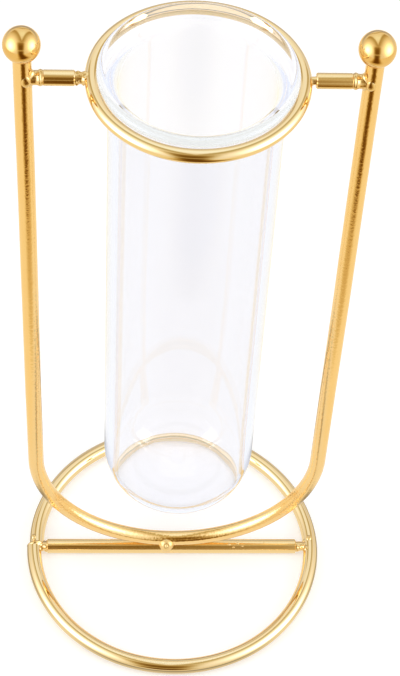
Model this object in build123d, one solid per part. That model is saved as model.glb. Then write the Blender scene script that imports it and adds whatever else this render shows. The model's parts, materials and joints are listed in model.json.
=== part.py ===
from build123d import *
import os
from math import atan2, cos, degrees, radians, sin, sqrt

# Test tube vase: a stand of plated wire that hangs a round-bottomed glass tube by its lip.
# Millimetres, +Z up. The origin is the middle of the base ring, on the surface it stands on.
# The legs stand at -X (left) and +X (right), and the front is at -Y.

# Wire and balls.
wire_diameter = 5.0  # base ring, cross bar and upright frame
arm_diameter = 4.3
collar_wire_diameter = 3.8
ball_diameter = 10.0

# Stand.
stand_height = 240.0  # from the floor to the top of the balls
base_diameter = 100.0  # over the outside of the base ring
leg_spacing = 92.0  # between the middles of the legs, which is also the width of the round foot
collar_drop = 11.5  # from the middles of the balls down to the collar and its arms
socket_depth = 5.0  # blind hole in a ball, from the ball's lowest point
socket_clearance = 0.05  # round the wire and past its end, in the socket
leg_end_chamfer = 0.4
wire_end_chamfer = 0.3  # on the cut ends of the bar and the arms

# Glass tube, and how it sits in the collar.
tube_diameter = 47.6
tube_wall = 2.7
tube_base_thickness = 2.0  # at the middle of the bottom
under_tube_gap = 33.0  # from the foot of the upright frame up to the tube
knuckle_offset = 6.8  # from the axis to the middle of the bottom's tighter outer curve
outer_crown_excess = 4.2  # the bottom's flatter middle: how much its radius exceeds the tube's
inner_crown_excess = 7.5  # the same inside, against the bore's radius
collar_play = 2.3  # from the tube to the inside of the collar
lip_overhang = 0.7  # how far the lip reaches over the inside of the collar
lip_angle = 60.0  # how far the lip turns out from upright, in degrees
seat_clearance = 0.3  # from the lip to the wire that it hangs on

# Weld deposits. An inset is how far a neck of weld lies in from the surface of its wire.
bar_weld_gap_left = 1.8  # from the end of the bar to the ring
bar_weld_gap_right = 2.5
bar_weld_inset = 0.8
arm_weld_gap_left = 2.4  # from the end of the arm to the collar
arm_weld_gap_right = 1.1
arm_weld_inset_left = 0.4
arm_weld_inset_right = 0.95
leg_fillet = 1.2  # hollow fillet of the arm welds on the legs
leg_weld_undercut = 0.15  # how far those welds lie in from the arm's surface, next to the fillet
leg_ripple_width = 1.2  # ripple of weld round the end of the arm
leg_ripple_height = 0.15  # over the arm's surface
leg_ripple_gap = 0.3  # from the ripple to the fillet
weld_waist = 0.3  # how far a neck narrows at its middle
weld_lump = 0.7  # radius of the lumps on a neck
weld_lump_sink = 0.25  # how far the middle of a lump lies under the neck's surface
weld_lump_count = 5
weld_lump_turn = 137.5  # from one lump to the next, in degrees about the neck
seam_width = 0.8  # butt weld of the base ring
seam_flash = 0.15  # how far that weld stands out from the wire
foot_bead_diameter = 4.7  # round bead between the foot and the bar
foot_root_diameter = 3.8  # its root, in the groove between the two wires
foot_bead_offset = -2.3  # along X from the middle
foot_bead_forward = 1.8  # towards the front
foot_bead_rise = 1.6  # above the line where the foot meets the bar
foot_root_back = 0.6  # where the root ends, in front of that line

# Places that follow from the sizes.
wire_radius = wire_diameter / 2
arm_radius = arm_diameter / 2
collar_wire_radius = collar_wire_diameter / 2
ball_radius = ball_diameter / 2
tube_radius = tube_diameter / 2
bore_radius = tube_radius - tube_wall

ring_radius = base_diameter / 2 - wire_radius
foot_contact = wire_diameter
leg_offset = leg_spacing / 2
foot_low = foot_contact + wire_radius
foot_centre = foot_low + leg_offset
ball_centre = stand_height - ball_radius
leg_top = ball_centre - ball_radius + socket_depth - socket_clearance

collar_height = ball_centre - collar_drop
collar_radius = tube_radius + collar_play + collar_wire_radius
collar_outside = collar_radius + collar_wire_radius
ring_inside = ring_radius - wire_radius
arm_leg_end = leg_offset - wire_radius - leg_fillet - leg_ripple_gap - leg_ripple_width

# The lip is the wall bent outwards, with a full round edge that rests on the collar's wire.
lip_reach = collar_play + lip_overhang
lip_edge_radius = tube_wall / 2
lip_edge_centre = tube_radius + lip_reach - lip_edge_radius
lip_bend = lip_reach / (1 - cos(radians(lip_angle)))
seat_distance = collar_wire_radius + lip_edge_radius + seat_clearance
lip_edge_height = collar_height + sqrt(seat_distance**2 - (collar_radius - lip_edge_centre) ** 2)
lip_start = lip_edge_height - lip_bend * sin(radians(lip_angle))
tube_bottom = foot_low + wire_radius + under_tube_gap

along_x = Plane.YZ


def ring_of_wire(radius, wire_diameter, height):
    return Pos(0, 0, height) * Torus(radius, wire_diameter / 2)


def rod_along_x(start, end, radius, height):
    rod = Cylinder(radius, end - start, align=(Align.CENTER, Align.CENTER, Align.MIN))
    return Pos(start, 0, height) * (along_x * rod)


def spun_about_x(outline, height):
    return Pos(0, 0, height) * revolve(Plane.XZ * make_face(outline), Axis.X)


def on_side(solid, side):
    return solid if side == "right" else mirror(solid, about=Plane.YZ)


def base_ring():
    # The wire leaves room for its butt weld at the left end of the bar.
    gap = degrees(seam_width / ring_radius)
    section = Plane.XZ * Pos(ring_radius, wire_radius) * Circle(wire_radius)
    return Rot(0, 0, 180 + gap / 2) * revolve(section, Axis.Z, 360 - gap)


def ring_seam_weld():
    # The weld stands out all round the wire but not below it, where the ring stands.
    gap = degrees(seam_width / ring_radius)
    flash_radius = wire_radius + seam_flash
    section = Plane.XZ * Pos(ring_radius, flash_radius) * Circle(flash_radius)
    return Rot(0, 0, 180 - gap / 2) * revolve(section, Axis.Z, gap)


def cross_bar():
    left_end = bar_weld_gap_left - ring_inside
    right_end = ring_inside - bar_weld_gap_right
    bar = rod_along_x(left_end, right_end, wire_radius, wire_radius)
    return chamfer(bar.edges().filter_by(GeomType.CIRCLE), wire_end_chamfer)


def upright_frame():
    # One wire: down the left leg, round the half-circle foot and up the right leg.
    left_leg = Line((-leg_offset, leg_top), (-leg_offset, foot_centre))
    foot = CenterArc((0, foot_centre), leg_offset, 180, 180)
    right_leg = Line((leg_offset, foot_centre), (leg_offset, leg_top))
    path = Plane.XZ * Wire([left_leg, foot, right_leg])
    section = Plane((-leg_offset, 0, leg_top), x_dir=(1, 0, 0), z_dir=(0, 0, -1)) * Circle(wire_radius)
    frame = sweep(section, path=path)
    return chamfer(frame.edges().group_by(Axis.Z)[-1], leg_end_chamfer)


def ball():
    socket_radius = wire_radius + socket_clearance
    socket = Cylinder(socket_radius, socket_depth, align=(Align.CENTER, Align.CENTER, Align.MIN))
    drilled = Sphere(ball_radius) - Pos(0, 0, -ball_radius) * socket
    return Pos(leg_offset, 0, ball_centre) * drilled


def leg_rod():
    rod = Cylinder(wire_radius, leg_top - foot_centre, align=(Align.CENTER, Align.CENTER, Align.MIN))
    return Pos(leg_offset, 0, foot_centre) * rod


def arm(weld_gap):
    rod = rod_along_x(collar_outside + weld_gap, arm_leg_end, arm_radius, collar_height)
    return chamfer(rod.edges().filter_by(GeomType.CIRCLE), wire_end_chamfer)


def arm_leg_weld():
    # Weld metal from the end of the arm to the leg: a ripple, then a hollow fillet along the leg's side.
    neck_radius = arm_radius - leg_weld_undercut
    ripple_top = (arm_leg_end + leg_ripple_width / 2, arm_radius + leg_ripple_height)
    ripple_end = (arm_leg_end + leg_ripple_width, neck_radius)
    outline = [
        Line((arm_leg_end, 0), (arm_leg_end, arm_radius)),
        ThreePointArc((arm_leg_end, arm_radius), ripple_top, ripple_end),
        Line(ripple_end, (leg_offset, neck_radius)),
        Line((leg_offset, neck_radius), (leg_offset, 0)),
        Line((leg_offset, 0), (arm_leg_end, 0)),
    ]
    joined = leg_rod() + spun_about_x(outline, collar_height)
    meeting = joined.edges().filter_by(GeomType.LINE, reverse=True).filter_by(GeomType.CIRCLE, reverse=True)
    return fillet(meeting, leg_fillet) - leg_rod()


def weld_neck(wire_end, ring_face, buried_end, end_radius, height):
    # A waisted run of weld from the cut end of a wire into a ring, with lumps set round it.
    low = min(wire_end, buried_end)
    high = max(wire_end, buried_end)
    waist_radius = end_radius - weld_waist
    hollow = ThreePointArc((low, end_radius), ((low + high) / 2, waist_radius), (high, end_radius))
    outline = [
        Line((low, 0), (low, end_radius)),
        hollow,
        Line((high, end_radius), (high, 0)),
        Line((high, 0), (low, 0)),
    ]
    neck = spun_about_x(outline, height)
    lump_offset = waist_radius - weld_lump_sink
    for lump in range(weld_lump_count):
        along = wire_end + (ring_face - wire_end) * (lump + 0.5) / weld_lump_count
        turn = radians(lump * weld_lump_turn)
        neck += Pos(along, lump_offset * sin(turn), height + lump_offset * cos(turn)) * Sphere(weld_lump)
    return neck & rod_along_x(low, high, end_radius + weld_lump, height)


def arm_collar_weld(weld_gap, inset):
    arm_end = collar_outside + weld_gap
    neck = weld_neck(arm_end, collar_outside, collar_radius, arm_radius - inset, collar_height)
    return neck - tube_collar()


def bar_weld(weld_gap):
    bar_end = ring_inside - weld_gap
    neck = weld_neck(bar_end, ring_inside, ring_radius, wire_radius - bar_weld_inset, wire_radius)
    return neck - ring_of_wire(ring_radius, wire_diameter, wire_radius)


def foot_weld():
    # A round bead on the front of the foot, with its root in the groove above the bar.
    forward = -foot_bead_forward
    bead = Pos(foot_bead_offset, forward, foot_contact + foot_bead_rise) * Sphere(foot_bead_diameter / 2)
    bead += Pos(foot_bead_offset, forward, foot_contact) * Sphere(foot_root_diameter / 2)
    room = 2 * foot_bead_diameter
    behind = Box(room, room, room, align=(Align.CENTER, Align.MIN, Align.CENTER))
    bead -= Pos(foot_bead_offset, -foot_root_back, foot_contact) * behind
    return bead - upright_frame() - cross_bar()


def tube_collar():
    return ring_of_wire(collar_radius, collar_wire_diameter, collar_height)


def round_bottom(radius, crown_radius, low):
    # Half of a round bottom, from the axis to the wall: a wide crown, then a tighter knuckle.
    knuckle_radius = radius - knuckle_offset
    rise = sqrt((crown_radius - knuckle_radius) ** 2 - knuckle_offset**2)
    turn = degrees(atan2(knuckle_offset, rise))
    crown = CenterArc((0, low + crown_radius), crown_radius, -90, turn)
    knuckle = CenterArc((knuckle_offset, low + crown_radius - rise), knuckle_radius, turn - 90, 90 - turn)
    return crown, knuckle


def glass_tube():
    crown, knuckle = round_bottom(tube_radius, tube_radius + outer_crown_excess, tube_bottom)
    bore_low = tube_bottom + tube_base_thickness
    bore_crown, bore_knuckle = round_bottom(bore_radius, bore_radius + inner_crown_excess, bore_low)
    bend_centre = (tube_radius - lip_edge_radius + lip_bend, lip_start)
    outer_bend = CenterArc(bend_centre, lip_bend - lip_edge_radius, 180, -lip_angle)
    inner_bend = CenterArc(bend_centre, lip_bend + lip_edge_radius, 180, -lip_angle)
    edge = CenterArc((lip_edge_centre, lip_edge_height), lip_edge_radius, -lip_angle, 180)
    outline = [
        crown,
        knuckle,
        Line(knuckle @ 1, outer_bend @ 0),
        outer_bend,
        edge,
        inner_bend,
        Line(inner_bend @ 0, bore_knuckle @ 1),
        bore_knuckle,
        bore_crown,
        Line(bore_crown @ 0, crown @ 0),
    ]
    return revolve(Plane.XZ * make_face(outline), Axis.Z)


bar_weld_gaps = {"left": bar_weld_gap_left, "right": bar_weld_gap_right}
arm_weld_gaps = {"left": arm_weld_gap_left, "right": arm_weld_gap_right}
arm_weld_insets = {"left": arm_weld_inset_left, "right": arm_weld_inset_right}

nodes = {
    "base_ring": base_ring(),
    "ring_seam_weld": ring_seam_weld(),
    "cross_bar": cross_bar(),
    "upright_frame": upright_frame(),
    "foot_weld": foot_weld(),
    "tube_collar": tube_collar(),
    "glass_tube": glass_tube(),
}
for side in ("left", "right"):
    weld_gap = arm_weld_gaps[side]
    nodes[f"ball_{side}"] = on_side(ball(), side)
    nodes[f"arm_{side}"] = on_side(arm(weld_gap), side)
    nodes[f"arm_leg_weld_{side}"] = on_side(arm_leg_weld(), side)
    nodes[f"arm_collar_weld_{side}"] = on_side(arm_collar_weld(weld_gap, arm_weld_insets[side]), side)
    nodes[f"bar_weld_{side}"] = on_side(bar_weld(bar_weld_gaps[side]), side)
nodes["bar_weld_left"] -= nodes["ring_seam_weld"]

os.makedirs("parts", exist_ok=True)
for name, solid in nodes.items():
    export_step(solid, f"parts/{name}.step")
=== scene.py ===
import json
import math

import bpy
import numpy as np
from mathutils import Matrix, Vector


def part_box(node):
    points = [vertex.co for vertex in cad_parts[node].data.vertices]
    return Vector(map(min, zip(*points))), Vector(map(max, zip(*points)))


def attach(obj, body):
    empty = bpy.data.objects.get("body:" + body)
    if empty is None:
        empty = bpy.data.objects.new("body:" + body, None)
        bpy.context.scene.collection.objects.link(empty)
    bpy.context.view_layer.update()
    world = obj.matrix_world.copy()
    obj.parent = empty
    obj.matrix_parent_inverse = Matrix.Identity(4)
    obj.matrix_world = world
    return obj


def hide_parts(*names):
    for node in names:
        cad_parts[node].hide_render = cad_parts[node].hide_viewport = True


# Test tube vase: gold-plated wire stand with a round-bottomed glass tube hung by its lip.
# Shapes are worked out in millimetres and put into the scene in metres.

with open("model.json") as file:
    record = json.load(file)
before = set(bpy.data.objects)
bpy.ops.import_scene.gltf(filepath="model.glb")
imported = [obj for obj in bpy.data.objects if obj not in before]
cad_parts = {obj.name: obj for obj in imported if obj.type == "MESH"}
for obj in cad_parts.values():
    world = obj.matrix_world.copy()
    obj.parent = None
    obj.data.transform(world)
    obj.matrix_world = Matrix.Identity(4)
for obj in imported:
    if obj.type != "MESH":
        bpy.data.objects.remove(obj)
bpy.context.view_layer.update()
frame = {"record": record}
mm = 0.001


def nodeBox(node):
    low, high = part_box(node)
    return np.array(low) / mm, np.array(high) / mm


def toLinear(hexColour):
    srgb = np.array([int(hexColour[i:i + 2], 16) for i in (1, 3, 5)]) / 255
    linear = np.where(srgb <= 0.04045, srgb / 12.92, ((srgb + 0.055) / 1.055) ** 2.4)
    return (*linear.tolist(), 1.0)


# values go on the node's own sockets, links bring another node's output to a socket
def addNode(tree, kind, values=(), links=(), **options):
    node = tree.nodes.new(kind)
    for option, choice in options.items():
        setattr(node, option, choice)
    for socket, value in dict(values).items():
        node.inputs[socket].default_value = value
    for socket, source in dict(links).items():
        tree.links.new(source, node.inputs[socket])
    return node


def newMaterial(name):
    material = bpy.data.materials.new(name)
    material.use_nodes = True
    material.node_tree.nodes.clear()
    return material, material.node_tree


# Sizes read from the frame.
ringLow, ringHigh = nodeBox("base_ring")
wireRadius = (ringHigh[2] - ringLow[2]) / 2
ringRadius = (ringHigh[1] - ringLow[1]) / 2 - wireRadius
frameLow, frameHigh = nodeBox("upright_frame")
legOffset = frameHigh[0] - wireRadius
legTop = frameHigh[2]
footLow = frameLow[2] + wireRadius
footCentre = footLow + legOffset
ballLow, ballHigh = nodeBox("ball_right")
ballRadius = (ballHigh[0] - ballLow[0]) / 2
ballCentre = ballHigh[2] - ballRadius
collarLow, collarHigh = nodeBox("tube_collar")
collarWire = (collarHigh[2] - collarLow[2]) / 2
collarRadius = (collarHigh[0] - collarLow[0]) / 2 - collarWire
collarHeight = (collarHigh[2] + collarLow[2]) / 2
armLow, armHigh = nodeBox("arm_right")
armRadius = (armHigh[2] - armLow[2]) / 2


def fullTurn(steps):
    return np.linspace(0, 2 * np.pi, steps, endpoint=False)


def everywhere(direction, count):
    return np.tile(direction, (count, 1))


# Outward and upward directions along a level circle.
def levelFrame(angle):
    side = np.stack([np.cos(angle), np.sin(angle), np.zeros_like(angle)], -1)
    return side, everywhere([0.0, 0.0, 1.0], len(angle))


# A path along X at one height, with its directions to the back and up.
def straightPath(x, height):
    path = np.stack([x, np.zeros_like(x), np.full_like(x, height)], -1)
    return path, everywhere([0.0, 1.0, 0.0], len(x)), everywhere([0.0, 0.0, 1.0], len(x))


# A round section carried along a path:
# point = path + radius * (cos(turn) * side + sin(turn) * over), turn going once round.
def sweptRings(path, side, over, radius, around):
    turn = fullTurn(around)
    circle = np.cos(turn)[:, None] * side[:, None, :] + np.sin(turn)[:, None] * over[:, None, :]
    wide = np.broadcast_to(np.asarray(radius, float), (len(path), around))
    return path[:, None, :] + wide[..., None] * circle


# The same points in the wire's own measure: across it in two directions, then along it.
def wireMeasure(along, radius, around):
    turn = fullTurn(around)
    wide = np.full((len(along), around), float(radius))
    return np.stack([wide * np.cos(turn), wide * np.sin(turn), np.repeat(along[:, None], around, 1)], -1)


# A profile of radius and height spun about an upright axis.
def spunRings(radius, height, centre, around):
    turn = fullTurn(around)
    return np.stack([centre[0] + radius[:, None] * np.cos(turn), centre[1] + radius[:, None] * np.sin(turn),
                     np.repeat((centre[2] + height)[:, None], around, 1)], -1)


# Quads join each ring of points to the next, and a tip closes an open end with a fan.
def skin(rings, closed=False, startTip=None, endTip=None):
    count, around = rings.shape[:2]
    index = np.arange(count * around).reshape(count, around)
    here = index if closed else index[:-1]
    ahead = np.roll(index, -1, 0) if closed else index[1:]
    quads = np.stack([here, np.roll(here, -1, 1), np.roll(ahead, -1, 1), ahead], -1).reshape(-1, 4)
    points = rings.reshape(-1, 3)
    faces = [quads]
    for edge, tip, turned in ((index[0], startTip, True), (index[-1], endTip, False)):
        if tip is not None:
            fan = np.stack([edge, np.roll(edge, -1), np.full(around, len(points))], -1)
            faces.append(fan[:, ::-1] if turned else fan)
            points = np.vstack([points, tip])
    return points, facingOut(points, faces)


# The volume under the faces is negative when they face inwards, and they are then turned round.
def facingOut(points, faces):
    triangles = np.vstack([f[:, [0, i, i + 1]] for f in faces for i in range(1, f.shape[1] - 1)])
    a, b, c = (points[triangles[:, i]] for i in range(3))
    volume = np.einsum("ij,ij->", a, np.cross(b, c))
    return faces if volume > 0 else [f[:, ::-1] for f in faces]


def addPiece(name, shells, material, body, nodes=(), measure=None, sharpAngle=None):
    points = np.vstack([points for points, _ in shells]) * mm
    faces = []
    start = 0
    for shellPoints, parts in shells:
        for part in parts:
            faces += (part + start).tolist()
        start += len(shellPoints)
    mesh = bpy.data.meshes.new(name)
    mesh.from_pydata(points.tolist(), [], faces)
    mesh.shade_smooth()
    if sharpAngle:
        mesh.set_sharp_from_angle(angle=math.radians(sharpAngle))
    if measure is not None:
        coords = np.zeros_like(points)
        coords[:measure.size // 3] = measure.reshape(-1, 3)
        layer = mesh.attributes.new("wireMeasure", "FLOAT_VECTOR", "POINT")
        layer.data.foreach_set("vector", coords.ravel())
    mesh.materials.append(material)
    piece = bpy.data.objects.new(name, mesh)
    bpy.context.scene.collection.objects.link(piece)
    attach(piece, body)
    if nodes:
        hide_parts(*nodes)
    print("piece", name, len(points), "points")


# The gold plate itself: its tone and its shine each follow a noise, from one end to the other.
def platedSurface(tree, tones, toneNoise, shine, shineNoise, noiseRange, bump):
    tone = addNode(tree, "ShaderNodeMix", {6: toLinear(tones[0]), 7: toLinear(tones[1])},
                   {0: toneNoise.outputs["Fac"]}, data_type="RGBA")
    rough = addNode(tree, "ShaderNodeMapRange",
                    {"From Min": noiseRange[0], "From Max": noiseRange[1],
                     "To Min": shine[0], "To Max": shine[1]},
                    {"Value": shineNoise.outputs["Fac"]})
    plate = addNode(tree, "ShaderNodeBsdfPrincipled", {"Metallic": 1.0},
                    {"Base Color": tone.outputs[2], "Roughness": rough.outputs["Result"],
                     "Normal": bump.outputs["Normal"]})
    addNode(tree, "ShaderNodeOutputMaterial", links={"Surface": plate.outputs["BSDF"]})


# Gold electroplate over drawn wire: a warm yellow mirror on the bent wires, satin on the cut ones. The eye
# sees streaks that run along the wire, broken a little by the draw lines under the plate.
def goldOnWire(name, tones, shine, pitDepth):
    look = {
        "toneSize": 16,  # mm, patches of thicker and thinner plate
        "smudgeSize": 7,  # mm, handling marks that dull the shine
        "smudgeRange": (0.35, 0.72),  # of the noise, from clean to smudged
        "lineWidth": 0.55,  # mm, draw lines, several times coarser than real so that they show
        "lineLength": 14,  # mm
        "lineDepth": 0.004,  # mm
        "pitSize": 0.9,  # mm, orange peel of the plate
    }
    material, tree = newMaterial(name)
    place = addNode(tree, "ShaderNodeTexCoord").outputs["Object"]
    own = addNode(tree, "ShaderNodeAttribute", attribute_name="wireMeasure").outputs["Vector"]
    patch = addNode(tree, "ShaderNodeTexNoise", {"Scale": 1 / (look["toneSize"] * mm), "Detail": 2},
                    {"Vector": place})
    smudge = addNode(tree, "ShaderNodeTexNoise",
                     {"Scale": 1 / (look["smudgeSize"] * mm), "Detail": 5, "Roughness": 0.6},
                     {"Vector": place})
    across = 1 / look["lineWidth"]
    stretch = addNode(tree, "ShaderNodeVectorMath", {1: (across, across, 1 / look["lineLength"])}, {0: own},
                      operation="MULTIPLY")
    lines = addNode(tree, "ShaderNodeTexNoise", {"Scale": 1, "Detail": 2},
                    {"Vector": stretch.outputs["Vector"]})
    pits = addNode(tree, "ShaderNodeTexNoise", {"Scale": 1 / (look["pitSize"] * mm), "Detail": 3},
                   {"Vector": place})
    drawn = addNode(tree, "ShaderNodeBump", {"Strength": 1, "Distance": look["lineDepth"] * mm},
                    {"Height": lines.outputs["Fac"]})
    peel = addNode(tree, "ShaderNodeBump", {"Strength": 1, "Distance": pitDepth * mm},
                   {"Height": pits.outputs["Fac"], "Normal": drawn.outputs["Normal"]})
    platedSurface(tree, tones, patch, shine, smudge, look["smudgeRange"], peel)
    return material


# The same plate over solid metal without a grain: turned balls, or lumps of weld left as they froze.
# The eye sees rounder, softer reflections, and on a weld small broken sparkles.
def goldOnSolid(name, tones, shine, lumpSize, lumpDepth):
    look = {"patchSize": 4, "patchRange": (0.35, 0.7)}  # mm, and of the noise, from bright to dull
    material, tree = newMaterial(name)
    place = addNode(tree, "ShaderNodeTexCoord").outputs["Object"]
    patch = addNode(tree, "ShaderNodeTexNoise", {"Scale": 1 / (look["patchSize"] * mm), "Detail": 3},
                    {"Vector": place})
    lumps = addNode(tree, "ShaderNodeTexNoise", {"Scale": 1 / (lumpSize * mm), "Detail": 3},
                    {"Vector": place})
    bump = addNode(tree, "ShaderNodeBump", {"Strength": 1, "Distance": lumpDepth * mm},
                   {"Height": lumps.outputs["Fac"]})
    platedSurface(tree, tones, patch, shine, patch, look["patchRange"], bump)
    return material


# Clear drawn glass tube: nearly colourless, with a faint cold cast and the long faint waves that drawing
# leaves. Lamp light, long paths and what comes off the metal go straight through, so the eye sees next to
# no shadow of the tube, and no image of it in the gold.
def clearGlass(name):
    look = {
        "tint": "#F8F8FB", "edgeTint": "#F8F9F9",  # of each surface, and of a surface on a long path
        "longest": 4,  # surfaces on a path before it counts as long
        "onceInGlass": -100,  # takes the count of mirrors below 0 when the path has been in glass
        "waveWidth": 7, "waveLength": 90, "waveDepth": 0.02,  # mm
    }
    material, tree = newMaterial(name)
    place = addNode(tree, "ShaderNodeTexCoord").outputs["Object"]
    across = 1 / (look["waveWidth"] * mm)
    stretch = addNode(tree, "ShaderNodeVectorMath", {1: (across, across, 1 / (look["waveLength"] * mm))},
                      {0: place}, operation="MULTIPLY")
    waves = addNode(tree, "ShaderNodeTexNoise", {"Scale": 1, "Detail": 1},
                    {"Vector": stretch.outputs["Vector"]})
    bump = addNode(tree, "ShaderNodeBump", {"Strength": 1, "Distance": look["waveDepth"] * mm},
                   {"Height": waves.outputs["Fac"]})
    glass = addNode(tree, "ShaderNodeBsdfPrincipled",
                    {"Base Color": toLinear(look["tint"]), "Roughness": 0.0, "IOR": 1.5,
                     "Transmission Weight": 1.0}, {"Normal": bump.outputs["Normal"]})
    path = addNode(tree, "ShaderNodeLightPath")
    deep = addNode(tree, "ShaderNodeMath", {1: look["longest"] + 0.5}, {0: path.outputs["Ray Depth"]},
                   operation="GREATER_THAN")
    passing = addNode(tree, "ShaderNodeMix", {6: toLinear("#FFFFFF"), 7: toLinear(look["edgeTint"])},
                      {0: deep.outputs[0]}, data_type="RGBA")
    through = addNode(tree, "ShaderNodeBsdfTransparent", links={"Color": passing.outputs[2]})
    offMetal = addNode(tree, "ShaderNodeMath", {1: look["onceInGlass"]},
                       {0: path.outputs["Transmission Depth"], 2: path.outputs["Glossy Depth"]},
                       operation="MULTIPLY_ADD", use_clamp=True)
    shadowOrDeep = addNode(tree, "ShaderNodeMath",
                           links={0: path.outputs["Is Shadow Ray"], 1: deep.outputs[0]}, operation="MAXIMUM")
    straight = addNode(tree, "ShaderNodeMath", links={0: shadowOrDeep.outputs[0], 1: offMetal.outputs[0]},
                       operation="MAXIMUM")
    mixed = addNode(tree, "ShaderNodeMixShader",
                    links={0: straight.outputs[0], 1: glass.outputs["BSDF"], 2: through.outputs["BSDF"]})
    addNode(tree, "ShaderNodeOutputMaterial", links={"Surface": mixed.outputs["Shader"]})
    return material


# Each plate has its two tones, its roughness from bright to dull, and its relief in mm.
cutPlate = goldOnWire("goldElectroplateOnCutWire", ("#F0CF92", "#F5D79E"), (0.13, 0.2), 0.006)
wirePlate = goldOnWire("goldElectroplateOnDrawnWire", ("#EED19A", "#F3D9A6"), (0.03, 0.08), 0.004)
# painted shade: the stand is plated as one, and the legs' deeper gold stands in for the less light they see
uprightPlate = goldOnWire("goldElectroplateOnBentWire", ("#F4CE8C", "#F8D596"), (0.05, 0.12), 0.06)
ballPlate = goldOnSolid("goldElectroplateOnTurnedBall", ("#E6BC72", "#EEC67E"), (0.06, 0.11), 1.6, 0.006)
weldPlate = goldOnSolid("goldElectroplateOnRoughWeld", ("#E6C07C", "#F6D69A"), (0.12, 0.26), 0.5, 0.035)
beadPlate = goldOnSolid("goldElectroplateOnDullBead", ("#EFC980", "#F8DA9C"), (0.36, 0.48), 0.5, 0.02)
tubeGlass = clearGlass("clearDrawnGlass")
print("materials ready")


# Slow uneven bends left by hand work: a sum of three sine waves of about one unit in all.
def handWave(along, longest, seed):
    phase = np.random.default_rng(seed).uniform(0, 2 * np.pi, 3)
    lengths = longest * np.array([1, 0.46, 0.21])
    shares = np.array([0.6, 0.28, 0.12])
    return (shares * np.sin(2 * np.pi * along[:, None] / lengths + phase)).sum(1)


# Base ring: a wire bent to a circle that lies on the floor, with its ends butted at the left.
# The rear end has sprung in a little, which dies away along the wire.
baseRing = {"stations": 700, "around": 44, "seamGap": 0.8, "springIn": 0.8, "springLength": 16,
            "wave": 0.10, "waveLength": 110, "waveSeed": 3, "sharpAngle": 50}


def makeBaseRing(spec):
    halfGap = spec["seamGap"] / ringRadius / 2
    angle = np.linspace(np.pi + halfGap, 3 * np.pi - halfGap, spec["stations"])
    along = ringRadius * (angle - angle[0])
    wave = spec["wave"] * handWave(along, spec["waveLength"], spec["waveSeed"])
    sprung = spec["springIn"] * np.exp(-(along[-1] - along) / spec["springLength"])
    side, over = levelFrame(angle)
    path = (ringRadius + wave - sprung)[:, None] * side + [0, 0, wireRadius]
    shell = skin(sweptRings(path, side, over, wireRadius, spec["around"]), startTip=path[0], endTip=path[-1])
    addPiece("baseRing", [shell], wirePlate, "stand", ["base_ring"],
             wireMeasure(along, wireRadius, spec["around"]), spec["sharpAngle"])


# Butt weld of the ring: a bell-shaped swelling round the wire, uneven round it, flat underneath.
# Its middle steps from the ring's sprung end to the true one.
seamWeld = {"halfLength": 1.5, "swell": 0.3, "bellWidth": 0.5, "buried": 0.2, "stepSlope": 2.5,
            "uneven": 0.12, "stations": 21, "around": 44}


def makeSeamWeld(spec):
    s = np.linspace(-1, 1, spec["stations"])
    turn = fullTurn(spec["around"])
    angle = np.pi + s * spec["halfLength"] / ringRadius
    middle = ringRadius - baseRing["springIn"] * 0.5 * (1 - np.tanh(spec["stepSlope"] * s))
    side, over = levelFrame(angle)
    path = middle[:, None] * side + [0, 0, wireRadius]
    bellCurve = np.exp(-(s / spec["bellWidth"]) ** 2)[:, None]
    ripple = spec["uneven"] * np.sin(3 * turn + 5 * s[:, None]) * np.sin(2 * turn + 1)
    radius = wireRadius - spec["buried"] + (spec["buried"] + spec["swell"] + ripple) * bellCurve
    rings = sweptRings(path, side, over, radius, spec["around"])
    rings[..., 2] = np.maximum(rings[..., 2], 0.0)
    shell = skin(rings, startTip=path[0], endTip=path[-1])
    addPiece("ringSeamWeld", [shell], weldPlate, "stand", ["ring_seam_weld"])


# A straight cut wire along X: a round rod with a small flat chamfer at each end.
crossBar = {"chamfer": 0.3, "stations": 90, "around": 44, "sharpAngle": 30}
arms = {"chamfer": 0.3, "stations": 14, "around": 44, "sharpAngle": 30}


def makeRod(name, node, spec):
    low, high = nodeBox(node)
    radius, chamfer = (high[2] - low[2]) / 2, spec["chamfer"]
    between = np.linspace(low[0] + chamfer, high[0] - chamfer, spec["stations"])
    x = np.concatenate([[low[0]], between, [high[0]]])
    radii = np.concatenate([[radius - chamfer], np.full_like(between, radius), [radius - chamfer]])
    path, side, over = straightPath(x, (low[2] + high[2]) / 2)
    rings = sweptRings(path, side, over, radii[:, None], spec["around"])
    shell = skin(rings, startTip=path[0], endTip=path[-1])
    addPiece(name, [shell], cutPlate, "stand", [node],
             wireMeasure(x, radius, spec["around"]), spec["sharpAngle"])


# Upright frame: one wire down the left leg, round the half-circle foot and up the right leg.
# Its hand-bent wave dies away towards the balls and towards the bar.
uprightFrame = {"legStations": 230, "footStations": 200, "around": 44, "wave": 0.06, "waveLength": 140,
                "waveSeed": 8, "stillTop": 25, "stillFoot": 20, "sharpAngle": 50}


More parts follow.
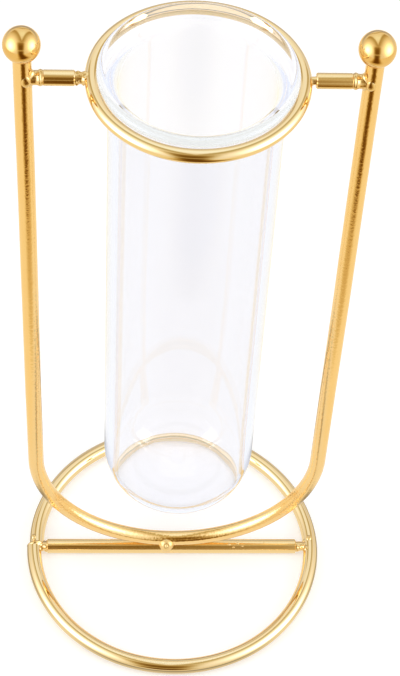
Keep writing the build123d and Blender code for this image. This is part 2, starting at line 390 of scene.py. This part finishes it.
def makeUprightFrame(spec):
    legLength = legTop - footCentre
    down = np.linspace(legTop, footCentre, spec["legStations"], endpoint=False)
    bend = np.linspace(np.pi, 2 * np.pi, spec["footStations"], endpoint=False)
    up = np.linspace(footCentre, legTop, spec["legStations"])
    x = np.concatenate([np.full_like(down, -legOffset), legOffset * np.cos(bend),
                        np.full_like(up, legOffset)])
    z = np.concatenate([down, footCentre + legOffset * np.sin(bend), up])
    turn = np.concatenate([np.full_like(down, np.pi), bend, np.full_like(up, 2 * np.pi)])
    along = np.concatenate([legTop - down, legLength + legOffset * (bend - np.pi),
                            legLength + np.pi * legOffset + up - footCentre])
    side = np.stack([np.cos(turn), np.zeros_like(turn), np.sin(turn)], -1)
    over = everywhere([0.0, 1.0, 0.0], len(x))
    free = np.clip((legTop - z) / spec["stillTop"], 0, 1) * np.clip((z - footLow) / spec["stillFoot"], 0, 1)
    wave = spec["wave"] * free * handWave(along, spec["waveLength"], spec["waveSeed"])
    path = np.stack([x, np.zeros_like(x), z], -1) + wave[:, None] * side
    shell = skin(sweptRings(path, side, over, wireRadius, spec["around"]), startTip=path[0], endTip=path[-1])
    addPiece("uprightFrame", [shell], uprightPlate, "stand", ["upright_frame"],
             wireMeasure(along, wireRadius, spec["around"]), spec["sharpAngle"])


# Ball finial: a sphere drilled for the wire, with a small hollow fillet of plate and solder round
# the mouth. The fillet's middle lies one fillet radius off both the sphere and the wire.
balls = {"fillet": 0.45, "socketRoom": 0.03, "polar": 60, "filletSteps": 10, "around": 96, "sharpAngle": 60}


def makeBall(name, node, spec):
    low, high = nodeBox(node)
    middleX = (low[0] + high[0]) / 2
    fillet, bore = spec["fillet"], wireRadius + spec["socketRoom"]
    across = bore + fillet
    below = math.sqrt((ballRadius + fillet) ** 2 - across ** 2)
    touch = math.atan2(across, -below)
    polar = np.linspace(0, touch, spec["polar"])[1:]
    turn = np.linspace(math.atan2(below, -across), np.pi, spec["filletSteps"])[1:]
    radius = np.concatenate([ballRadius * np.sin(polar), across + fillet * np.cos(turn), [bore]])
    height = np.concatenate([ballRadius * np.cos(polar), -below + fillet * np.sin(turn), [0.0]])
    rings = spunRings(radius, height, (middleX, 0, ballCentre), spec["around"])
    shell = skin(rings, startTip=[middleX, 0, ballCentre + ballRadius], endTip=[middleX, 0, ballCentre])
    addPiece(name, [shell], ballPlate, "stand", [node], sharpAngle=spec["sharpAngle"])


# Collar: a closed ring of thinner wire, level, that carries the tube's lip. It is out of round by a
# wave of three lobes and a smaller one of seven.
collar = {"stations": 520, "around": 40, "wave": 0.05}


def makeCollar(spec):
    angle = fullTurn(spec["stations"])
    wave = spec["wave"] * (np.sin(3 * angle + 0.7) + 0.5 * np.sin(7 * angle + 2.0))
    side, over = levelFrame(angle)
    path = (collarRadius + wave)[:, None] * side + [0, 0, collarHeight]
    shell = skin(sweptRings(path, side, over, collarWire, spec["around"]), closed=True)
    addPiece("tubeCollar", [shell], wirePlate, "stand", ["tube_collar"],
             wireMeasure(collarRadius * angle, collarWire, spec["around"]))


# A small bead: a ball stretched to three half-sizes.
def beadShell(centre, halfSizes, polar=12, around=18):
    angle = np.linspace(0, np.pi, polar + 2)[1:-1]
    rings = spunRings(np.sin(angle), np.cos(angle), (0, 0, 0), around) * halfSizes + centre
    tip = np.array([0, 0, halfSizes[2]])
    return skin(rings, startTip=centre + tip, endTip=centre - tip)


# Weld of an arm on a leg. Along the arm: a ripple, as a bell curve on a slightly undercut neck.
# Against the leg: the hollow that a ball of the fillet's size leaves when it rolls round the corner.
# The ball's middle lies one fillet off the neck and one fillet off the leg, and its section is an arc
# from the direction of the arm's axis to the direction of the leg's axis.
# Flat beads of weld sit on the leg in front and beside it. Each has its turn from the front towards the arm,
# its height above the arm's axis, its half-width, and its height for its width.
armLegWelds = {
    "fillet": 1.2, "uneven": 0.12, "undercut": 0.15, "wobble": 0.03,
    "rippleWidth": 1.2, "rippleSlope": 0.42, "rippleHeight": 0.15, "skew": 0.22,
    "overlap": 0.1, "plugLength": 0.6, "plugRadius": 1.4, "rootDepth": 0.4, "tipDepth": 1,  # inside the wires
    "around": 80, "neckSteps": 26, "filletSteps": 16,
    "sink": 0.3, "flat": 0.42,  # how deep the beads sit, and their depth for their width
    "Left": {"seed": 39, "beads": ((20, 0.3, 1.5, 1.35), (80, 1.7, 0.85, 1), (66, -0.9, 0.8, 1))},
    "Right": {"seed": 41, "beads": ((14, 0.3, 1.4, 1.35), (52, -0.7, 0.75, 1), (80, 1.6, 0.85, 1),
                                    (34, -2.4, 0.45, 1))},
}


def makeArmLegWeld(name, node, armEnd, hand, spec, own):
    phase = np.random.default_rng(own["seed"]).uniform(0, 2 * np.pi, 4)
    turn = fullTurn(spec["around"])
    out = np.stack([np.zeros_like(turn), np.sin(turn), np.cos(turn)], -1)
    neck = armRadius - spec["undercut"]
    uneven = spec["uneven"] * (np.sin(2 * turn + phase[0]) + 0.5 * np.sin(5 * turn + phase[1]))
    fillet = spec["fillet"] * (1 + uneven)
    reach = neck + fillet
    middleX = legOffset - np.sqrt((wireRadius + fillet) ** 2 - (reach * np.sin(turn)) ** 2)
    middle = np.stack([middleX, reach * np.sin(turn), reach * np.cos(turn)], -1)
    toArm = -out
    toLeg = np.stack([legOffset - middle[:, 0], -middle[:, 1], np.zeros_like(turn)], -1)
    toLeg /= (wireRadius + fillet)[:, None]
    s = np.linspace(0, 1, spec["neckSteps"])[:, None]
    start = armEnd - spec["overlap"]
    x = start + s * (middleX - start)
    crest = armEnd + 0.5 * spec["rippleWidth"] + spec["skew"] * np.cos(turn + phase[2])
    ripple = np.exp(-((x - crest) / (spec["rippleSlope"] * spec["rippleWidth"])) ** 2)
    wobble = spec["wobble"] * np.sin(4 * turn + 3 * x + phase[3]) * (1 - s)
    radius = neck + (spec["undercut"] + spec["rippleHeight"]) * ripple + wobble
    alongArm = np.stack([x, radius * np.sin(turn), radius * np.cos(turn)], -1)
    angle = np.arccos((toArm * toLeg).sum(1))
    t = np.linspace(0, 1, spec["filletSteps"])[1:, None]
    armShare, legShare = np.sin((1 - t) * angle)[..., None], np.sin(t * angle)[..., None]
    hollow = middle + fillet[:, None] * (armShare * toArm + legShare * toLeg) / np.sin(angle)[:, None]
    rooted = hollow[-1:] + spec["rootDepth"] * toLeg
    plugEnd = armEnd - spec["plugLength"]
    plug = (spec["plugRadius"] * out + [plugEnd, 0, 0])[None]
    rings = np.concatenate([plug, alongArm, hollow, rooted]) * [hand, 1, 1] + [0, 0, collarHeight]
    shells = [skin(rings, startTip=[hand * plugEnd, 0, collarHeight],
                   endTip=[hand * (legOffset - spec["tipDepth"]), 0, collarHeight])]
    for side, rise, size, tall in own["beads"]:
        turned, deep = math.radians(side), wireRadius - spec["sink"]
        centre = [hand * (legOffset - deep * math.sin(turned)), -deep * math.cos(turned), collarHeight + rise]
        shells.append(beadShell(np.array(centre), size * np.array([1, spec["flat"], tall])))
    addPiece(name, shells, weldPlate, "stand", [node])


# Lumpy neck of weld from the cut end of a wire into a ring: a waisted tube with bell-shaped lumps
# scattered over it. Each lump falls off with the distance from its middle on the unrolled neck.
weldNeck = {"steps": 44, "around": 64, "lumpPlaces": (0.12, 0.92), "lumpSizes": (0.7, 1.3),
            "lumpHeights": (0.5, 1.0), "lumpSlope": 2.2}


def neckShell(start, end, height, radius, own, seed):
    draw = np.random.default_rng(seed)
    at = draw.uniform(*weldNeck["lumpPlaces"], own["lumps"])
    turned = draw.uniform(0, 2 * np.pi, own["lumps"])
    size = own["lumpSize"] * draw.uniform(*weldNeck["lumpSizes"], own["lumps"])
    tall = own["lumpHeight"] * draw.uniform(*weldNeck["lumpHeights"], own["lumps"])
    s = np.linspace(0, 1, weldNeck["steps"])
    apart = (fullTurn(weldNeck["around"])[:, None] - turned + np.pi) % (2 * np.pi) - np.pi
    alongApart = (s[:, None] - at) * abs(end - start)
    away = alongApart[:, None, :] ** 2 + (radius * apart[None]) ** 2
    swell = (tall * np.exp(-away / (2 * (size / weldNeck["lumpSlope"]) ** 2))).max(-1)
    wide = radius - own["waist"] * np.sin(np.pi * s)[:, None] + swell
    path, side, over = straightPath(start + s * (end - start), height)
    return skin(sweptRings(path, side, over, wide, weldNeck["around"]), startTip=path[0], endTip=path[-1])


armCollarWelds = {
    "intoArm": 0.5, "intoCollar": 0.3,
    "Left": {"inset": 0.4, "waist": 0.15, "lumps": 20, "lumpSize": 0.8, "lumpHeight": 0.5, "seed": 21},
    "Right": {"inset": 0.95, "waist": 0.1, "lumps": 7, "lumpSize": 0.8, "lumpHeight": 0.4, "seed": 34},
}


def makeArmCollarWeld(name, node, armEnd, hand, spec, own):
    neck = neckShell(hand * (armEnd + spec["intoArm"]), hand * (collarRadius + spec["intoCollar"]),
                     collarHeight, armRadius - own["inset"], own, own["seed"])
    addPiece(name, [neck], weldPlate, "stand", [node])


# The bar's welds have a lumpy neck, and beads that ran on to the ring's wire beside it. Each bead has its
# shift to the back, its turn from the ring's inner side up over its top, and its half-size.
barWelds = {
    "neck": {"waist": 0.1, "lumps": 12, "lumpSize": 1.1, "lumpHeight": 0.55},
    "inset": 0.8, "intoBar": 0.5, "sink": 0.55, "beadShape": (1, 1.2, 0.85),
    "Left": {"seed": 5, "beads": ((2.4, 95, 1.0), (0.4, 30, 1.35), (-1.6, 35, 0.95), (1.5, 45, 1.0))},
    "Right": {"seed": 13, "beads": ((-0.4, 25, 1.35), (1.9, 80, 1.1), (-1.9, 50, 1.1), (1.2, 30, 1.0))},
}


def makeBarWeld(name, node, barEnd, hand, spec, own):
    shells = [neckShell(hand * (barEnd - spec["intoBar"]), hand * ringRadius, wireRadius,
                        wireRadius - spec["inset"], spec["neck"], own["seed"])]
    for shift, rise, size in own["beads"]:
        lift, deep = math.radians(rise), wireRadius - spec["sink"]
        centre = [hand * (ringRadius - deep * math.cos(lift)), shift, wireRadius + deep * math.sin(lift)]
        shells.append(beadShell(np.array(centre), size * np.array(spec["beadShape"])))
    addPiece(name, shells, weldPlate, "stand", [node])


# Bead in front of the foot. From the bead's middle, the distance to its surface is the larger of the
# bead's own radius and the way to the surface of its lower root, smoothed, less a small crater that
# faces forward and up.
footBead = {"diameter": 5.0, "rootDiameter": 3.8, "offset": -2.3, "forward": 2.0, "rise": 1.85,
            "uneven": 0.02, "blend": 0.12, "facing": (0.0, -0.75, 0.66), "craterDepth": 0.45,
            "craterWidth": 15, "polar": 40, "around": 60}


def makeFootBead(spec):
    paintedShadow = 2 * wireRadius
    middle = np.array([spec["offset"], -spec["forward"], paintedShadow + spec["rise"]])
    facing = np.array(spec["facing"])
    facing /= np.linalg.norm(facing)
    across = np.array([1.0, 0.0, 0.0])
    upward = np.cross(facing, across)
    angle = np.linspace(0, np.pi, spec["polar"] + 2)[1:-1, None]
    turn = fullTurn(spec["around"])
    ray = (np.sin(angle) * np.cos(turn))[..., None] * across
    ray = ray + (np.sin(angle) * np.sin(turn))[..., None] * upward
    ray = ray + np.cos(angle)[..., None] * facing
    down = -spec["rise"] * ray[..., 2]
    root = down + np.sqrt((spec["rootDiameter"] / 2) ** 2 - spec["rise"] ** 2 + down ** 2)
    own = spec["diameter"] / 2 * (1 + spec["uneven"] * np.sin(3 * turn + 1) * np.sin(angle) ** 2)
    reach = spec["blend"] * np.logaddexp(own / spec["blend"], root / spec["blend"])
    reach = reach - spec["craterDepth"] * np.exp(-(np.degrees(angle) / spec["craterWidth"]) ** 2)
    shell = skin(middle + reach[..., None] * ray,
                 startTip=middle + (spec["diameter"] / 2 - spec["craterDepth"]) * facing,
                 endTip=middle - reach[-1].mean() * facing)
    addPiece("footBead", [shell], beadPlate, "stand", ["foot_weld"])


# Drops of weld that froze on the bar: flat beads sunk in its surface, given by their place along
# the bar, their turn from its top towards the front, and their half-size.
barSpatter = {"shape": (1, 0.8, 0.5), "polar": 8, "around": 14,
              "drops": ((19.4, 20, 0.55), (20.9, 42, 0.4), (22.3, 12, 0.48), (24.0, 34, 0.36),
                        (31.5, 8, 0.3))}


def makeBarSpatter(spec):
    shells = []
    for along, lean, size in spec["drops"]:
        lift = math.radians(lean)
        centre = np.array([along, -wireRadius * math.sin(lift), wireRadius * (1 + math.cos(lift))])
        shells.append(beadShell(centre, size * np.array(spec["shape"]), spec["polar"], spec["around"]))
    addPiece("barSpatter", shells, weldPlate, "stand")


# Glass tube: a closed profile spun about the upright axis. Outside, a flattened round bottom of two arcs,
# the straight wall and the wall bent out to a lip with a full round edge; inside, the same in reverse.
glassTube = {"wall": 2.7, "baseThickness": 2.0, "knuckleOffset": 6.8, "crownExcess": 4.2,
             "boreCrownExcess": 7.5, "lipAngle": 60, "around": 288, "bottomSteps": 28, "wallSteps": 40,
             "lipSteps": 16}


# The crown is an arc about the axis, and the knuckle a tighter arc that meets it and ends upright.
def roundBottom(radius, crown, low, offset, steps):
    knuckle = radius - offset
    rise = math.sqrt((crown - knuckle) ** 2 - offset ** 2)
    meet = math.atan2(offset, rise)
    a = np.linspace(0, meet, steps)
    b = np.linspace(meet, np.pi / 2, steps)[1:]
    r = np.concatenate([crown * np.sin(a), offset + knuckle * np.sin(b)])
    z = np.concatenate([low + crown * (1 - np.cos(a)), low + crown - rise - knuckle * np.cos(b)])
    return r, z


def makeGlassTube(spec):
    low, high = nodeBox("glass_tube")
    half = spec["wall"] / 2
    edge = high[0] - half
    rim = high[2] - half
    boreRadius = next(m["dims"]["r_mm"] for m in frame["record"]["mounts"] if m["kind"] == "bore")
    tubeRadius = boreRadius + spec["wall"]
    lean = math.radians(spec["lipAngle"])
    bendRadius = (edge - tubeRadius + half) / (1 - math.cos(lean))
    bendStart = rim - bendRadius * math.sin(lean)
    bendCentre = tubeRadius - half + bendRadius
    outR, outZ = roundBottom(tubeRadius, tubeRadius + spec["crownExcess"], low[2],
                             spec["knuckleOffset"], spec["bottomSteps"])
    inR, inZ = roundBottom(boreRadius, boreRadius + spec["boreCrownExcess"], low[2] + spec["baseThickness"],
                           spec["knuckleOffset"], spec["bottomSteps"])
    turn = np.linspace(0, lean, spec["lipSteps"])
    edgeTurn = np.linspace(-lean, np.pi - lean, spec["lipSteps"])[1:-1]
    outWall = np.linspace(outZ[-1], bendStart, spec["wallSteps"])[1:-1]
    inWall = np.linspace(inZ[-1], bendStart, spec["wallSteps"])[1:-1]
    outBend, inBend = bendRadius - half, bendRadius + half
    radius = np.concatenate([
        outR[1:], np.full_like(outWall, tubeRadius), bendCentre - outBend * np.cos(turn),
        edge + half * np.cos(edgeTurn),
        (bendCentre - inBend * np.cos(turn))[::-1], np.full_like(inWall, boreRadius), inR[:0:-1]])
    height = np.concatenate([
        outZ[1:], outWall, bendStart + outBend * np.sin(turn),
        rim + half * np.sin(edgeTurn),
        (bendStart + inBend * np.sin(turn))[::-1], inWall[::-1], inZ[:0:-1]])
    rings = spunRings(radius, height, (0, 0, 0), spec["around"])
    shell = skin(rings, startTip=[0, 0, outZ[0]], endTip=[0, 0, inZ[0]])
    addPiece("glassTube", [shell], tubeGlass, "tube", ["glass_tube"])


makeBaseRing(baseRing)
makeSeamWeld(seamWeld)
makeRod("crossBar", "cross_bar", crossBar)
makeUprightFrame(uprightFrame)
makeFootBead(footBead)
makeBarSpatter(barSpatter)
makeCollar(collar)
barLow, barHigh = nodeBox("cross_bar")
for sideName, hand, barEnd in (("Left", -1, -barLow[0]), ("Right", 1, barHigh[0])):
    suffix = sideName.lower()
    armEnds = np.abs(np.array(nodeBox(f"arm_{suffix}"))[:, 0])
    makeBall(f"ball{sideName}", f"ball_{suffix}", balls)
    makeRod(f"arm{sideName}", f"arm_{suffix}", arms)
    makeArmLegWeld(f"armLegWeld{sideName}", f"arm_leg_weld_{suffix}", armEnds.max(), hand,
                   armLegWelds, armLegWelds[sideName])
    makeArmCollarWeld(f"armCollarWeld{sideName}", f"arm_collar_weld_{suffix}", armEnds.min(), hand,
                      armCollarWelds, armCollarWelds[sideName])
    makeBarWeld(f"barWeld{sideName}", f"bar_weld_{suffix}", barEnd, hand, barWelds, barWelds[sideName])
makeGlassTube(glassTube)
print("pieces ready")


# Stage: a pale floor that reads as white but keeps the shadow, a white world and soft lamps.
# The floor's lift and the world's full strength are there only for what is seen, not for the light they give.
studio = {"floorSize": 6000, "floorColour": "#DCDBD9", "floorLift": 0.435, "worldFill": 0.55}


def seenDirectly(tree):
    path = addNode(tree, "ShaderNodeLightPath")
    pair = addNode(tree, "ShaderNodeMath", operation="ADD",
                   links={0: path.outputs["Is Camera Ray"], 1: path.outputs["Is Glossy Ray"]})
    return addNode(tree, "ShaderNodeMath", links={0: pair.outputs[0], 1: path.outputs["Is Transmission Ray"]},
                   operation="ADD", use_clamp=True).outputs[0]


def stageMesh(name, points, faces, material):
    mesh = bpy.data.meshes.new(name)
    mesh.from_pydata((np.asarray(points, float) * mm).tolist(), [], faces)
    mesh.materials.append(material)
    thing = bpy.data.objects.new(name, mesh)
    bpy.context.scene.collection.objects.link(thing)
    return thing


def makeFloor(spec):
    material, tree = newMaterial("palePaintedFloor")
    paint = addNode(tree, "ShaderNodeBsdfDiffuse", {"Color": toLinear(spec["floorColour"])})
    lift = addNode(tree, "ShaderNodeMath", {1: spec["floorLift"]}, {0: seenDirectly(tree)},
                   operation="MULTIPLY")
    glow = addNode(tree, "ShaderNodeEmission", links={"Strength": lift.outputs[0]})
    both = addNode(tree, "ShaderNodeAddShader", links={0: paint.outputs[0], 1: glow.outputs[0]})
    addNode(tree, "ShaderNodeOutputMaterial", links={"Surface": both.outputs[0]})
    half = spec["floorSize"] / 2
    corners = [(-half, -half, 0), (half, -half, 0), (half, half, 0), (-half, half, 0)]
    stageMesh("floor", corners, [(0, 1, 2, 3)], material)


def makeWorld(spec):
    world = bpy.data.worlds.new("whiteStudio")
    world.use_nodes = True
    tree = world.node_tree
    tree.nodes.clear()
    strength = addNode(tree, "ShaderNodeMath", {1: 1 - spec["worldFill"], 2: spec["worldFill"]},
                       {0: seenDirectly(tree)}, operation="MULTIPLY_ADD")
    sky = addNode(tree, "ShaderNodeBackground", {"Color": toLinear("#FFFFFF")},
                  {"Strength": strength.outputs[0]})
    addNode(tree, "ShaderNodeOutputWorld", links={"Surface": sky.outputs[0]})
    bpy.context.scene.world = world


# Flat panels round the set, which light the floor and don't show in the metal: the tent below shows there.
# Each has a name, its place and aim in mm, its width and height in mm, and its watts.
lamps = (
    ("sideLampLeft", (-560, -180, 470), (0, 0, 100), 300, 300, 1.0),
    ("sideLampRight", (560, -180, 470), (0, 0, 100), 300, 300, 1.0),
    ("topLamp", (0, 120, 950), (0, 0, 100), 800, 800, 2.2),
)


def makeLamp(name, place, aim, width, height, watts):
    light = bpy.data.lights.new(name, "AREA")
    light.shape = "RECTANGLE"
    light.size, light.size_y = width * mm, height * mm
    light.energy = watts
    lamp = bpy.data.objects.new(name, light)
    toAim = np.array(aim, float) - place
    toAim /= np.linalg.norm(toAim)
    right = np.cross(toAim, [0, 0, 1])
    right /= np.linalg.norm(right)
    turn = Matrix(np.stack([right, np.cross(right, toAim), -toAim], -1).tolist()).to_4x4()
    turn.translation = np.array(place) * mm
    lamp.matrix_world = turn
    lamp.visible_glossy = False
    bpy.context.scene.collection.objects.link(lamp)


# Light tent, which only reflections see: a floor and a dome of white cloth round the set. Widths are those
# of bell curves, and angles are in degrees.
tent = {
    "radius": 820, "around": 360, "domeRows": 60, "floorHeight": 0.4, "domeHeight": 0.5,  # mm
    "innermostRow": 4, "fineRows": (20, 260, 61), "coarseRows": (280, 820, 20),  # mm out along the floor
    # how dark the dark parts get, and the powers of red, green and blue that make them brown
    "darkest": 0.95, "darkPower": (0.72, 1, 1.8),
    # in front, a dark strip where the tent is open runs out along the floor and up the dome, and a paler
    # ledge crosses it; middle and width are given near the vase and at the dome, and shades along it
    "stripNear": 240, "stripMiddle": (16, -60), "stripWidth": (122, 235),  # mm
    "floorOut": (84, 92, 112, 119, 152, 184, 240), "floorShade": (0, 0.2, 0.3, 0.42, 0.42, 0.97, 0.98),  # mm
    "domeRise": (0, 48, 60, 67, 73), "domeShade": (0.97, 0.93, 0.8, 0.4, 0),
    "ledgeRise": 23, "ledgeWidth": 4, "ledgeShade": 0.4,
    # a thin dark seam arches over the back, and two more spread from the strip's top to its ends
    "archRise": 41, "archWidth": 33, "seamStart": 66, "seamSpread": 0.36,
    "seamWidth": 3.5, "seamFade": 13, "seamShade": 0.6,
    # low behind the set the cloth is grey
    "horizonRise": 12, "horizonWidth": 13, "horizonSpread": 45, "horizonShade": 0.85,
    "horizonTint": (0.25, 0.29, 0.5),
    # lamps glow through the cloth at each side and overhead
    "glow": (2.9, 3.3, 4.2), "glowWidth": 22, "glowAim": (0.84, -0.30, 0.45),
    "topGlow": (0.12, 0.3, 0.55), "topRise": 104, "topWidth": 20,
    # the floor grows warmer away from the vase, and has a painted contact shadow beside the base ring,
    # except at two spots that show in the legs
    "floorTint": (1.04, 0.94, 0.71), "warmStart": 62, "warmLength": 40, "leastWarm": 0.35,  # mm
    "contactOut": 57, "contactWidth": 5.5, "contactShade": 0.7,  # mm
    "legSpot": (45, -36), "legSpotSize": 16,  # mm
    # what shows by way of the glass: cool cloth with a grey band, over a hem that has the floor's tint, and
    # a pale floor that is darker in front
    "coolTint": (1.4, 1.48, 1.8), "hemRise": 24,
    "bandTint": (0.45, 0.53, 0.8), "bandRise": 33, "bandWidth": 5,
    "paleFloor": (0.98, 1.03, 1.15), "nearFloor": 160, "frontWidth": 60, "frontShade": 0.5,  # mm
}


def bell(value, middle, width):
    return np.exp(-((value - middle) / width) ** 2)


# tint = (floor or dome) * (1 - darkest * dark) ^ darkPower. The strip falls off to both sides as a bell with
# a flat middle, the power 4, and the larger of strip and seams counts as dark.
def tentTint(points, onFloor, spec):
    x, y, z = points[..., 0], points[..., 1], points[..., 2]
    across, out = np.abs(x), np.hypot(x, y)
    rise = np.degrees(np.arctan2(z, -y))  # 0 in front, 90 overhead, 180 behind
    aside = np.degrees(np.arcsin(np.clip(across / spec["radius"], 0, 1)))
    level = np.degrees(np.arcsin(np.clip(z / spec["radius"], 0, 1)))
    fromBack = np.degrees(np.arctan2(across, y))

    reach = np.where(onFloor, -y, spec["radius"])
    ends = (spec["stripNear"], spec["radius"])
    beside = np.abs(x - np.interp(reach, ends, spec["stripMiddle"]))
    beside = beside / np.interp(reach, ends, spec["stripWidth"])
    ledge = spec["ledgeShade"] * bell(rise, spec["ledgeRise"], spec["ledgeWidth"])
    shade = np.where(onFloor, np.interp(-y, spec["floorOut"], spec["floorShade"]),
                     np.interp(rise, spec["domeRise"], spec["domeShade"]) - ledge)
    strip = np.maximum(shade, 0) * np.exp(-beside ** 4)

    arch = spec["archRise"] * (1 - (fromBack / spec["archWidth"]) ** 2)
    backSeam = (y > 0) * bell(level, arch, spec["seamWidth"])
    off = aside - (rise - spec["seamStart"]) * spec["seamSpread"]
    sideSeam = bell(off, 0, np.where(off > 0, spec["seamFade"], spec["seamWidth"]))
    sideSeam = (rise > spec["seamStart"]) * (rise < 180 - spec["archRise"]) * sideSeam
    seams = np.where(onFloor, 0, spec["seamShade"] * np.maximum(backSeam, sideSeam))

    # painted contact shadow of the base ring on the tent floor, left out at two spots that show in the legs
    fromLegs = np.hypot(across - spec["legSpot"][0], y - spec["legSpot"][1])
    paintedShadow = spec["contactShade"] * bell(out, spec["contactOut"], spec["contactWidth"])
    paintedShadow = paintedShadow * (1 - bell(fromLegs, 0, spec["legSpotSize"]))
    warm = np.clip((out - spec["warmStart"]) / spec["warmLength"], spec["leastWarm"], 1)[..., None]
    floor = (1 + (np.array(spec["floorTint"]) - 1) * warm) * (1 - paintedShadow)[..., None]

    aim = np.array(spec["glowAim"]) / np.linalg.norm(spec["glowAim"])
    toward = np.stack([across, y, z], -1) / np.linalg.norm(points, axis=-1, keepdims=True)
    apart = np.degrees(np.arccos(np.clip(toward @ aim, -1, 1)))
    fromTop = np.hypot(rise - spec["topRise"], aside)
    dome = 1 + bell(apart, 0, spec["glowWidth"])[..., None] * np.array(spec["glow"])
    dome = dome + bell(fromTop, 0, spec["topWidth"])[..., None] * np.array(spec["topGlow"])
    horizon = spec["horizonShade"] * bell(fromBack, 0, spec["horizonSpread"])
    horizon = (horizon * bell(level, spec["horizonRise"], spec["horizonWidth"]))[..., None]
    dome = dome + (np.array(spec["horizonTint"]) - dome) * horizon

    light = 1 - spec["darkest"] * np.maximum(strip, seams)
    return np.where(onFloor[..., None], floor, dome) * light[..., None] ** np.array(spec["darkPower"])


def behindGlassTint(points, onFloor, spec):
    x, y, z = points[..., 0], points[..., 1], points[..., 2]
    pale = np.array(spec["paleFloor"])
    level = np.degrees(np.arcsin(np.clip(z / spec["radius"], 0, 1)))
    hem = np.clip(level / spec["hemRise"], 0, 1)[..., None]
    band = np.exp(-((level - spec["bandRise"]) / spec["bandWidth"]) ** 4)[..., None]
    cool = pale * (1 - hem) + np.array(spec["coolTint"]) * hem
    cloth = cool * (1 - band) + np.array(spec["bandTint"]) * band
    front = 1 - spec["frontShade"] * bell(x, 0, spec["frontWidth"]) * (y < 0)
    floor = np.where(np.hypot(x, y) < spec["nearFloor"], 1.0, front)[..., None] * pale
    return np.where(onFloor[..., None], floor, cloth)


# Lit cloth: it glows in one tint for the bare metal, and in the other for paths that have been in glass.
# It isn't there for a path without a mirror, or for one in glass that went straight through something.
def tentCloth(name):
    material, tree = newMaterial(name)
    path = addNode(tree, "ShaderNodeLightPath")
    bare = addNode(tree, "ShaderNodeAttribute", attribute_name="tint")
    behind = addNode(tree, "ShaderNodeAttribute", attribute_name="behindGlass")
    inGlass = addNode(tree, "ShaderNodeMath", {1: 0.5}, {0: path.outputs["Transmission Depth"]},
                      operation="GREATER_THAN")
    tint = addNode(tree, "ShaderNodeMix", data_type="RGBA",
                   links={0: inGlass.outputs[0], 6: bare.outputs["Color"], 7: behind.outputs["Color"]})
    glow = addNode(tree, "ShaderNodeEmission", links={"Color": tint.outputs[2]})
    noMirror = addNode(tree, "ShaderNodeMath", {1: 0.5}, {0: path.outputs["Glossy Depth"]},
                       operation="LESS_THAN")
    passed = addNode(tree, "ShaderNodeMath", operation="MULTIPLY_ADD", use_clamp=True, links={
        0: inGlass.outputs[0], 1: path.outputs["Transparent Depth"], 2: noMirror.outputs[0]})
    absent = addNode(tree, "ShaderNodeBsdfTransparent")
    both = addNode(tree, "ShaderNodeMixShader",
                   links={0: passed.outputs[0], 1: glow.outputs[0], 2: absent.outputs[0]})
    addNode(tree, "ShaderNodeOutputMaterial", links={"Surface": both.outputs[0]})
    return material


def makeTent(spec):
    floorRows = np.concatenate([[spec["innermostRow"]], np.linspace(*spec["fineRows"]),
                                np.linspace(*spec["coarseRows"])])
    rise = np.linspace(0, np.pi / 2, spec["domeRows"])[:-1]
    out = np.concatenate([floorRows, spec["radius"] * np.cos(rise)])
    height = np.concatenate([np.full_like(floorRows, spec["floorHeight"]),
                             spec["domeHeight"] + spec["radius"] * np.sin(rise)])
    points = spunRings(out, height, (0, 0, 0), spec["around"])
    onFloor = np.repeat((np.arange(len(out)) < len(floorRows))[:, None], spec["around"], 1)
    index = np.arange(onFloor.size).reshape(onFloor.shape)
    ahead = np.roll(index, -1, 1)
    quads = np.stack([index[:-1], ahead[:-1], ahead[1:], index[1:]], -1).reshape(-1, 4)
    card = stageMesh("lightTent", points.reshape(-1, 3), quads.tolist(), tentCloth("tentCloth"))
    layers = {"tint": tentTint(points, onFloor, spec), "behindGlass": behindGlassTint(points, onFloor, spec)}
    for layer, colours in layers.items():
        colours = np.concatenate([colours, np.ones((*colours.shape[:2], 1))], -1)
        card.data.attributes.new(layer, "FLOAT_COLOR", "POINT").data.foreach_set("color", colours.ravel())
    card.visible_camera = card.visible_diffuse = card.visible_shadow = False


# The camera stands in front and above, and looks down steeply with a long lens.
cameraSpec = {"place": (-25.37, -393.94, 599.38), "yaw": 4.382, "pitch": 50.727, "roll": 3.721,
              "lens": 109.85, "sensor": 36, "clip": (0.01, 50)}  # mm and degrees, clip in metres


def makeCamera(spec):
    yaw, pitch, roll = (math.radians(spec[k]) for k in ("yaw", "pitch", "roll"))
    ahead = np.array([math.sin(yaw) * math.cos(pitch), math.cos(yaw) * math.cos(pitch), -math.sin(pitch)])
    right = np.array([math.cos(yaw), -math.sin(yaw), 0.0])
    up = np.cross(right, ahead)
    tiltedRight = math.cos(roll) * right + math.sin(roll) * up
    tiltedUp = math.cos(roll) * up - math.sin(roll) * right
    data = bpy.data.cameras.new("camera")
    data.sensor_width = spec["sensor"]
    data.lens = spec["lens"]
    data.clip_start, data.clip_end = spec["clip"]
    camera = bpy.data.objects.new("camera", data)
    turn = Matrix(np.stack([tiltedRight, tiltedUp, -ahead], -1).tolist()).to_4x4()
    turn.translation = np.array(spec["place"]) * mm
    camera.matrix_world = turn
    bpy.context.scene.collection.objects.link(camera)
    bpy.context.scene.camera = camera


makeFloor(studio)
makeWorld(studio)
for lampSpec in lamps:
    makeLamp(*lampSpec)
makeTent(tent)
makeCamera(cameraSpec)
bpy.context.scene.view_settings.view_transform = "Standard"
print("stage ready")
